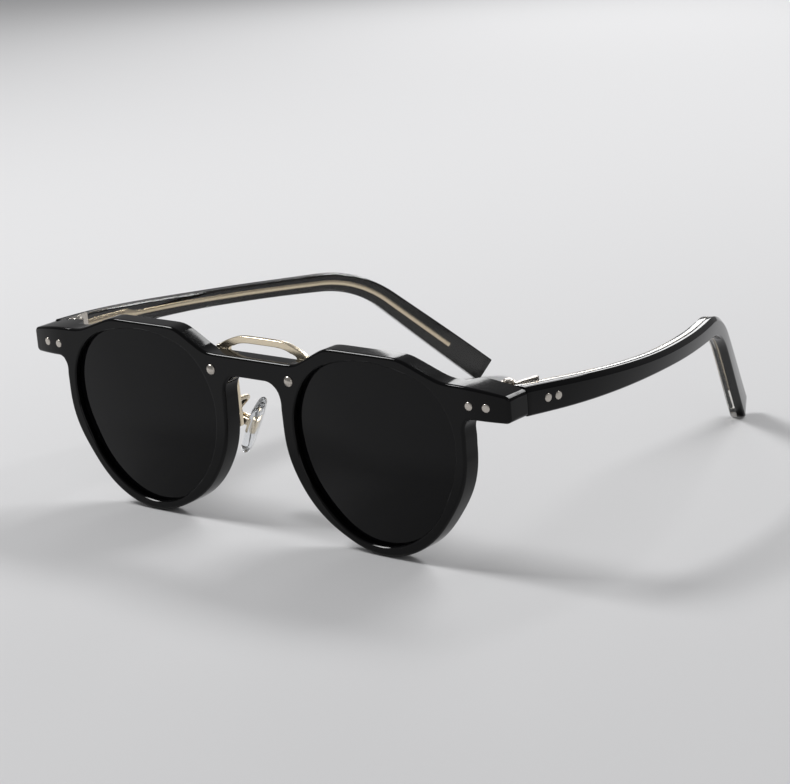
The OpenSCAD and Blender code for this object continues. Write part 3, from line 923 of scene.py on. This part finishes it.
@dataclass(frozen=True)
class Arch:
    """The metal arch above the bridge with its plates down the back of the rims."""

    thick: float = 1.2
    rise: float = 3.5
    flat: float = 7.3
    strip: float = 1.6
    plate_gap: float = 0.2
    plate_w: float = 2.3
    plate_l: float = 13.8
    step: float = 0.35
    even: float = 3.2
    even_from: float = 0.9
    edge: float = 0.32

    def build(self) -> None:
        """Makes the arch."""
        f = FRONT
        top, inner = f.bridge_top + self.rise, f.nose + self.plate_gap
        outer, low = inner + self.plate_w, f.bridge_low - self.plate_l
        rivet_x, even_from = f.bridge_rivet[0], f.bridge_top + self.even_from
        corners = both_halves([
            (self.flat - 0.5, top - self.strip, 7.0), (outer, f.bridge_top, 0.8),
            (inner + 0.5, f.bridge_top - 1.4, 0.8), (inner, low, 0.6), (outer, low + 0.5, 1.2),
            (outer, f.bridge_low - 1.0, 2.0), (rivet_x + 1.7, f.bridge_low, 1.2),
            (rivet_x + 2.6, f.bridge_top + 0.6, 1.4), (self.flat, top, 8.0),
        ])
        shape = dense(outline(corners, ARC_STEPS), self.step)
        shape = eased(shape, self.even, lambda p: p.y > even_from)
        bm = slab(shape, f.depth, f.depth + self.thick)
        soften(bm, sharp_edges(bm, 60), self.edge, 3)
        bm.transform(PLANE)
        publish(bm, "arch_bridge", "front", ["nose_bridge"], CHAMPAGNE, 35.0, even=True)


ARCH = Arch()


@dataclass(frozen=True)
class Rivets:
    """Domed rivets of the arch and flat bevelled rivets of endpieces and temples."""

    dome_r: float = 1.25
    dome_h: float = 0.7
    flat_r: float = 0.95
    shank_r: float = 0.7
    head_d: float = 1.2
    proud: float = 0.2
    short: float = 0.1
    half_step: float = 0.5

    def flat(self, end: float) -> Solid:
        """A flat rivet along y, from its face at 0 to the end of its shank."""
        r, shank, head = self.flat_r, self.shank_r, self.head_d
        return lathe([
            (0.0, -0.15), (r - 0.26, -0.15), (r - 0.12, -0.12), (r - 0.02, -0.03), (r, 0.1),
            (r, head), (shank, head), (shank, end), (0.0, end),
        ])

    def domed(self) -> Solid:
        """A rivet with a domed head, for the left of the bridge.

        Returns:
            A closed bmesh.
        """
        x, z = FRONT.bridge_rivet
        shank, head, end = self.shank_r, self.head_d, FRONT.depth + ARCH.thick + self.proud
        angles = [math.radians(a) for a in range(0, 91, 10)]
        profile = [(self.dome_r * math.sin(a), -self.dome_h * math.cos(a)) for a in angles]
        profile += [(self.dome_r, head), (shank, head), (shank, end - 0.08)]
        bm = lathe([*profile, (shank - 0.1, end), (0.0, end)])
        bmesh.ops.translate(bm, vec=(x, 0.0, z), verts=bm.verts)
        return bm

    def endpiece(self) -> Solid:
        """The two rivets of the left endpiece, square to its curved face.

        Returns:
            Both rivets in one bmesh.
        """
        f, bm, step = FRONT, bmesh.new(), self.half_step
        for x in f.end_rivets:
            one = self.flat(f.end_depth - f.swept(x) - self.short)
            tilt = Matrix.Rotation(math.atan(f.swept(x + step) - f.swept(x - step)), 4, "Z")
            one.transform(Matrix.Translation((x, f.swept(x), f.end_z - f.end_rivets_drop)) @ tilt)
            absorb(bm, one)
        return bm

    def temple(self) -> Solid:
        """The two rivets of the left temple.

        Returns:
            Both rivets in one bmesh.
        """
        t, bm = TEMPLE, bmesh.new()
        for at in t.rivets:
            one = self.flat(t.outer + t.core_t)
            here = SPINE.frame(at)
            turn = Matrix((here.along, -here.outward, here.upward)).transposed().to_4x4()
            one.transform(Matrix.Translation(here.point + here.outward * t.outer) @ turn)
            absorb(bm, one)
        return bm

    def build(self) -> None:
        """Makes all rivets."""
        bm, other = self.domed(), self.domed()
        other.transform(FLIP)
        absorb(bm, other)
        bm.transform(PLANE)
        publish(bm, "arch_rivets", "front", ["bridge_rivets"], NICKEL)
        publish_pair(self.endpiece, "front_rivets", ON_FRONT, ["endpiece_rivets"], NICKEL, 50.0)
        publish_pair(self.temple, "side_rivets", ON_TEMPLE, ["temple_rivets"], NICKEL, 50.0)


# ---- temples, hinges and nose pads


@dataclass(frozen=True)
class Station:
    """A place on the path of a temple, with the directions there."""

    point: Vector
    along: Vector
    outward: Vector
    upward: Vector


class Spine:
    """The path of a temple: straight at the joint, bowed out, bent down over the ear."""

    over = 3.0
    fine = 0.5

    def __init__(self) -> None:
        """Steps along the path from a little before the joint to the tip."""
        t = TEMPLE
        start = Vector((
            FRONT.half - t.start_in - t.outer / math.cos(math.radians(t.splay)), t.joint_y,
            FRONT.end_z - t.start_low,
        ))
        self.points = [start - self.directions(0.0)[0] * self.over]
        count = int((t.length + self.over) / self.fine)
        for i in range(count):
            way = self.directions((i + 0.5) * self.fine - self.over)[0]
            self.points.append(self.points[-1] + way * self.fine)

    def directions(self, at: float) -> tuple[Vector, Vector, Vector]:
        """Directions along, outward and upward at a length."""
        h, p = TEMPLE.heading(at), TEMPLE.slope(at)
        return (
            Vector((-math.sin(h) * math.cos(p), math.cos(h) * math.cos(p), -math.sin(p))),
            Vector((math.cos(h), math.sin(h), 0.0)),
            Vector((-math.sin(p) * math.sin(h), math.sin(p) * math.cos(h), math.cos(p))),
        )

    def frame(self, at: float) -> Station:
        """Finds a place on the path.

        Args:
            at: Length along the path.

        Returns:
            The place and its directions.
        """
        f = min(max((at + self.over) / self.fine, 0.0), len(self.points) - 1.0)
        i = min(int(f), len(self.points) - 2)
        point = self.points[i].lerp(self.points[i + 1], f - i)
        return Station(point, *self.directions(at))

    def placed(self, at: float, section: Points) -> Points:
        """Points of a section, as outward and upward, at a length."""
        s = self.frame(at)
        return [s.point + q.x * s.outward + q.y * s.upward for q in section]


SPINE = Spine()


@dataclass(frozen=True)
class Temples:
    """Each temple: black outer layer, clear inner layer and the metal core in it.

    The sections are lists of corners as outward, upward and radius, at a length.
    """

    layer_steps: int = 96
    core_steps: int = 84
    shell_edge: float = 0.25
    clear_edge: float = 0.2
    beads: int = 24
    bead_from: float = 2.0
    bead_step: float = 0.75
    bead_row: float = 0.9
    bead_r: float = 0.36
    bead_sunk: float = 0.1

    def swept(
        self, section: Callable[[float], list[Triple]], first: float, last: float, count: int,
        steps: int = 3,
    ) -> Solid:
        """Sweeps a rounded section along the path.

        Args:
            section: Gives the section at a length.
            first: Length at which the layer begins.
            last: Length at which it ends.
            count: Steps between the two.
            steps: Steps round each corner of the section.

        Returns:
            A closed bmesh.
        """
        places = [first + (last - first) * i / count for i in range(count + 1)]
        return loft([SPINE.placed(at, outline(section(at), steps)) for at in places])

    def outer_section(self, at: float) -> list[Triple]:
        """Section of the black layer."""
        t, h = TEMPLE, TEMPLE.height(at) / 2
        return [
            (0.0, -h, 0.05), (t.outer - t.side_bevel, -h, 0.3), (t.outer, t.side_bevel - h, 0.3),
            (t.outer, h - t.top_bevel, 0.5), (t.outer - t.top_bevel * 0.75, h, 0.4),
            (0.0, h, 0.05),
        ]

    def liner_section(self, at: float) -> list[Triple]:
        """Section of the clear layer, which reaches a hair into the black layer."""
        t, h = TEMPLE, TEMPLE.height(at) / 2
        return [
            (-t.liner, t.side_bevel - h, 0.3), (t.side_bevel - t.liner, -h, 0.3),
            (0.1, -h, 0.02), (0.1, h, 0.02), (t.side_bevel - t.liner, h, 0.3),
            (-t.liner, h - t.side_bevel, 0.3),
        ]

    def core_section(self, at: float) -> list[Triple]:
        """Section of the core: a plate, then a fan that narrows to a wire."""
        t, narrowed = TEMPLE, ease((at - TEMPLE.fan_at) / TEMPLE.fan)
        h = (t.wire_h + (t.plate_h - t.wire_h) * (1 - narrowed)) / 2
        return [(-t.core_t, -h, 0.3), (-0.04, -h, 0.1), (-0.04, h, 0.1), (-t.core_t, h, 0.3)]

    def layer(self, section: Callable[[float], list[Triple]], edge: float) -> Solid:
        """Sweeps a layer, cuts it at the joint and softens both of its ends.

        Args:
            section: Gives the layer's section at a length.
            edge: Width of the rounding at the ends.

        Returns:
            A closed bmesh.
        """
        joint, tip = TEMPLE.joint_y, SPINE.frame(TEMPLE.length)
        bm = self.swept(section, -SPINE.over, TEMPLE.length, self.layer_steps)
        trim(bm, (0.0, joint, 0.0), (0.0, -1.0, 0.0))
        ends = [
            g for g in bm.faces
            if all(abs(v.co.y - joint) < 1e-3 for v in g.verts)
            or all(abs((v.co - tip.point).dot(tip.along)) < 1e-3 for v in g.verts)
        ]
        soften(bm, list({e for g in ends for e in g.edges}), edge)
        return bm

    def outer(self) -> Solid:
        """The black layer."""
        return self.layer(self.outer_section, self.shell_edge)

    def liner(self) -> Solid:
        """The clear layer."""
        return self.layer(self.liner_section, self.clear_edge)

    def core(self) -> Solid:
        """The core with rows of beads on its plate.

        Returns:
            The core and its beads in one bmesh.
        """
        t = TEMPLE
        last = t.length - t.tip - t.wire_end
        bm = self.swept(self.core_section, t.plate_at, last, self.core_steps, 2)
        for i in range(self.beads):
            for row in (-1, 0, 1):
                shift = self.bead_step / 2 if row else 0.0
                here = SPINE.frame(t.plate_at + self.bead_from + i * self.bead_step + shift)
                place = here.point - here.outward * (t.core_t - self.bead_sunk)
                place += here.upward * row * self.bead_row
                bead = bmesh.new()
                bmesh.ops.create_icosphere(bead, subdivisions=2, radius=self.bead_r)
                bmesh.ops.translate(bead, vec=place, verts=bead.verts)
                absorb(bm, bead)
        return bm

    def build(self) -> None:
        """Makes both temples."""
        publish_pair(self.outer, "temple_shell", ON_TEMPLE, ["temple"], BLACK_ACETATE, 28.0)
        publish_pair(self.liner, "temple_clear", ON_TEMPLE, ["temple_liner"], CLEAR_ACETATE, 28.0)
        publish_pair(self.core, "temple_core", ON_TEMPLE, ["core_wire"], CHAMPAGNE, 40.0)


@dataclass(frozen=True)
class Hinges:
    """Five-barrel hinges: a leaf in each endpiece, a leaf on each temple, a screw."""

    leaf_edge: float = 0.08
    screw_edge: float = 0.06

    def build(self) -> None:
        """Makes both hinges."""
        for node, name, body, width in (
            ("front_hinge", "hinge_front_leaf", ON_FRONT, self.leaf_edge),
            ("temple_hinge", "hinge_temple_leaf", ON_TEMPLE, self.leaf_edge),
            ("hinge_screw", "hinge_pin", ON_FRONT, self.screw_edge),
        ):
            for side in Side:
                publish_copy(side, node, name, body, NICKEL, width, even=True)


@dataclass(frozen=True)
class NosePads:
    """Clear pads with inserts, hung on screws in the boxes of bent wire arms.

    A pad has its own axes: its width on x, its depth on y and its length on z. The turn
    is in degrees about x, y and z; all else is in millimetres.
    """

    length: float = 14.8
    width: float = 7.8
    thick: float = 2.3
    drop: float = 1.2
    place: Triple = (10.8, 11.5, 21.4)
    turn: Triple = (17.0, -25.0, -28.0)
    axis_off: float = 1.2
    box_half: float = 0.85
    box_gap: float = 0.2
    box_wall: float = 0.5
    box_edge: float = 0.1
    cheek_in: float = 0.57
    cheek_out: float = 1.12
    wire_r: float = 0.55
    wire_steps: int = 44
    wire_sides: int = 16
    root_part: float = 0.6
    root_drop: float = 7.5
    root_lead: float = 9.0
    box_lead: float = 2.6
    box_rise: float = 0.7
    swell: float = 0.45
    swell_fall: float = 45.0
    metal_edge: float = 0.06

    @property
    def at_pad(self) -> Matrix:
        """Takes the pad from its own axes to its place on the front."""
        x, y, z = (Matrix.Rotation(math.radians(a), 4, k) for a, k in zip(self.turn, "XYZ"))
        quarter = Matrix.Rotation(math.radians(-90), 4, "Z")
        return Matrix.Translation(self.place) @ (z @ y @ x) @ quarter

    @property
    def axis_y(self) -> float:
        """How far the screw lies behind the middle of the pad."""
        return self.thick / 2 + self.axis_off

    @property
    def box_back(self) -> float:
        """How far the back of the box lies behind the middle of the pad."""
        return self.axis_y + self.box_half + self.box_gap + self.box_wall

    def corner(self, u: float, v: float, r: float) -> Triple:
        """Corner of the pad in halves of its width and length."""
        return u * self.width / 2, v * self.length / 2 - self.drop, r * self.width / 2

    def pad(self) -> Solid:
        """The clear pad: straight top edge, bulging sides, narrower rounded foot.

        Returns:
            A closed bmesh.
        """
        corners = (
            (-0.82, 1, 0.34), (-1.06, 0, 2.3), (-0.66, -1.06, 0.82), (0.48, -1.06, 0.72),
            (1, 0.2, 2.3), (0.84, 1, 0.34),
        )
        shape = outline([self.corner(*c) for c in corners], 8)
        mid, h = Vector((0.0, -self.drop)), self.thick / 2
        levels = (
            (0.3, -1.0), (0.55, -1.0), (0.7, -0.94), (0.8, -0.85), (0.89, -0.7), (0.95, -0.5),
            (0.985, -0.25), (1.0, 0.0), (0.985, 0.3), (0.95, 0.58), (0.9, 0.82), (0.84, 1.0),
            (0.5, 1.0),
        )
        bm = loft([at_depth(shrunk(shape, k, mid), y * h) for k, y in levels])
        bm.transform(self.at_pad)
        return bm

    def direction(self, v: Sequence[float]) -> Vector:
        """Turns a direction of the pad into the directions of the front."""
        return self.at_pad.to_3x3() @ Vector(v)

    def wire(self) -> Solid:
        """The bent wire, from the arch's plate to the back of the box.

        Returns:
            A closed bmesh.
        """
        f = FRONT
        root_x = f.nose + ARCH.plate_gap + ARCH.plate_w * self.root_part
        a = Vector((root_x, f.depth + ARCH.thick, f.bridge_low - self.root_drop))
        d = Vector(self.place) + self.direction((0, self.box_back, 0))
        b = a + Vector((0.0, self.root_lead, 0.0))
        c = d + self.direction((0, self.box_lead, 0)) + Vector((0.0, 0.0, self.box_rise))
        turns = [k * math.tau / self.wire_sides for k in range(self.wire_sides)]
        rings = []
        for i in range(self.wire_steps + 1):
            t = i / self.wire_steps
            s = 1 - t
            point = s**3 * a + 3 * t * s * s * b + 3 * t * t * s * c + t**3 * d
            way = (s * s * (b - a) + 2 * t * s * (c - b) + t * t * (d - c)).normalized()
            side = (Vector((1, 0, 0)) - way * way.x).normalized()
            up = side.cross(way)
            r = self.wire_r * (1 + self.swell * math.exp(-t * self.swell_fall))
            rings.append([point + r * (math.cos(w) * side + math.sin(w) * up) for w in turns])
        return loft(rings)

    def holder(self) -> Solid:
        """The small box, open in front, that holds the tongue of the pad's insert.

        Returns:
            A closed bmesh.
        """
        out, inn, back, half = self.cheek_out, self.cheek_in, self.box_back, self.box_half
        front, wall = self.axis_y - half, back - self.box_wall
        u = [(-out, front), (-inn, front), (-inn, wall), (inn, wall), (inn, front),
             (out, front), (out, back), (-out, back)]
        bm = loft([[Vector((x, y, z)) for x, y in u] for z in (-half, half)])
        soften(bm, sharp_edges(bm, 60), self.box_edge)
        bm.transform(self.at_pad)
        return bm

    def arm(self) -> Solid:
        """The wire and the box in one bmesh."""
        bm = self.wire()
        absorb(bm, self.holder())
        return bm

    def build(self) -> None:
        """Makes both pads with what holds them."""
        publish_pair(self.pad, "pad_clear", ON_PAD, ["nose_pad"], CLEAR_PAD)
        publish_pair(self.arm, "pad_wire", ON_FRONT, ["pad_arm"], CHAMPAGNE, 40.0)
        for side in Side:
            for node, name, body, finish in (
                ("pad_mount", "pad_insert", ON_PAD, CHAMPAGNE),
                ("pad_screw", "pad_pin", ON_FRONT, NICKEL),
            ):
                publish_copy(side, node, name, body, finish, self.metal_edge)


# ---- studio


@dataclass(frozen=True)
class Lamp:
    """A soft area lamp that looks at the glasses, in metres and watts."""

    name: str
    place: Triple
    size: tuple[float, float]
    power: float

    def hang(self) -> None:
        """Adds the lamp to the scene."""
        data = bpy.data.lights.new(self.name, "AREA")
        data.shape, data.energy = "RECTANGLE", self.power
        data.size, data.size_y = self.size
        lamp = add_object(self.name, data)
        lamp.location = self.place
        aim = Vector((0.0, 0.0, 0.02)) - Vector(self.place)
        lamp.rotation_euler = aim.to_track_quat("-Z", "Y").to_euler()


@dataclass(frozen=True)
class Studio:
    """Pale floor, soft lamps and the camera at the photograph's angle.

    The camera was found from the outline of the front and the temples in the photograph.
    Its place is in metres, its turn in radians, its lens and sensor in millimetres.
    """

    paper: str = "#d7d7d8"
    floor_half: float = 9.0
    surround: float = 0.34
    lamps: tuple[Lamp, ...] = (
        Lamp("key", (-0.75, -0.27, 0.9), (0.4, 0.3), 8.5),
        Lamp("rim", (0.1, 0.88, 0.93), (0.85, 0.28), 7.0),
        Lamp("back", (-0.62, 1.0, 0.38), (0.42, 0.34), 1.6),
        Lamp("fill", (0.9, -0.6, 0.35), (0.5, 0.5), 0.6),
    )
    eye: Triple = (0.37108358, -0.45651036, 0.1700517)
    turn: Triple = (1.31705678, 0.05602752, 0.68948703)
    lens: float = 112.06
    sensor: float = 36.0

    def floor(self) -> None:
        """A wide pale paper floor."""
        bm = bmesh.new()
        bmesh.ops.create_grid(bm, x_segments=1, y_segments=1, size=self.floor_half)
        mesh = bpy.data.meshes.new("floor")
        bm.to_mesh(mesh)
        bm.free()
        made = bpy.data.materials.new("Pale studio paper")
        tree = fresh_tree(made)
        shader = add_node(
            tree, "ShaderNodeBsdfPrincipled", None,
            {"Base Color": linear(self.paper), "Roughness": 0.85, "Specular IOR Level": 0.1},
        )
        add_node(tree, "ShaderNodeOutputMaterial", {"Surface": shader.outputs["BSDF"]})
        mesh.materials.append(made)
        floor = add_object("floor", mesh)

    def world(self) -> None:
        """An even pale surround."""
        world = bpy.data.worlds.new("studio")
        tree = fresh_tree(world)
        light = add_node(
            tree, "ShaderNodeBackground", None,
            {"Color": linear(self.paper), "Strength": self.surround},
        )
        add_node(tree, "ShaderNodeOutputWorld", {"Surface": light.outputs["Background"]})
        bpy.context.scene.world = world

    def camera(self) -> None:
        """Adds the camera."""
        data = bpy.data.cameras.new("camera")
        data.sensor_fit, data.sensor_width, data.lens = "HORIZONTAL", self.sensor, self.lens
        data.clip_start, data.clip_end = 0.01, 50.0
        camera = add_object("camera", data)
        camera.location, camera.rotation_euler = self.eye, self.turn
        bpy.context.scene.camera = camera

    def build(self) -> None:
        """Sets the stage."""
        self.floor()
        self.world()
        for lamp in self.lamps:
            lamp.hang()
        self.camera()
        bpy.context.scene.view_settings.view_transform = "Standard"


def main() -> None:
    """Builds the glasses and the studio."""
    logging.basicConfig(level=logging.INFO, format="%(message)s")
    for part in (RimFront(), Lenses(), Arch(), Rivets(), Temples(), Hinges(), NosePads(), Studio()):
        part.build()


if __name__ == "__main__":
    main()
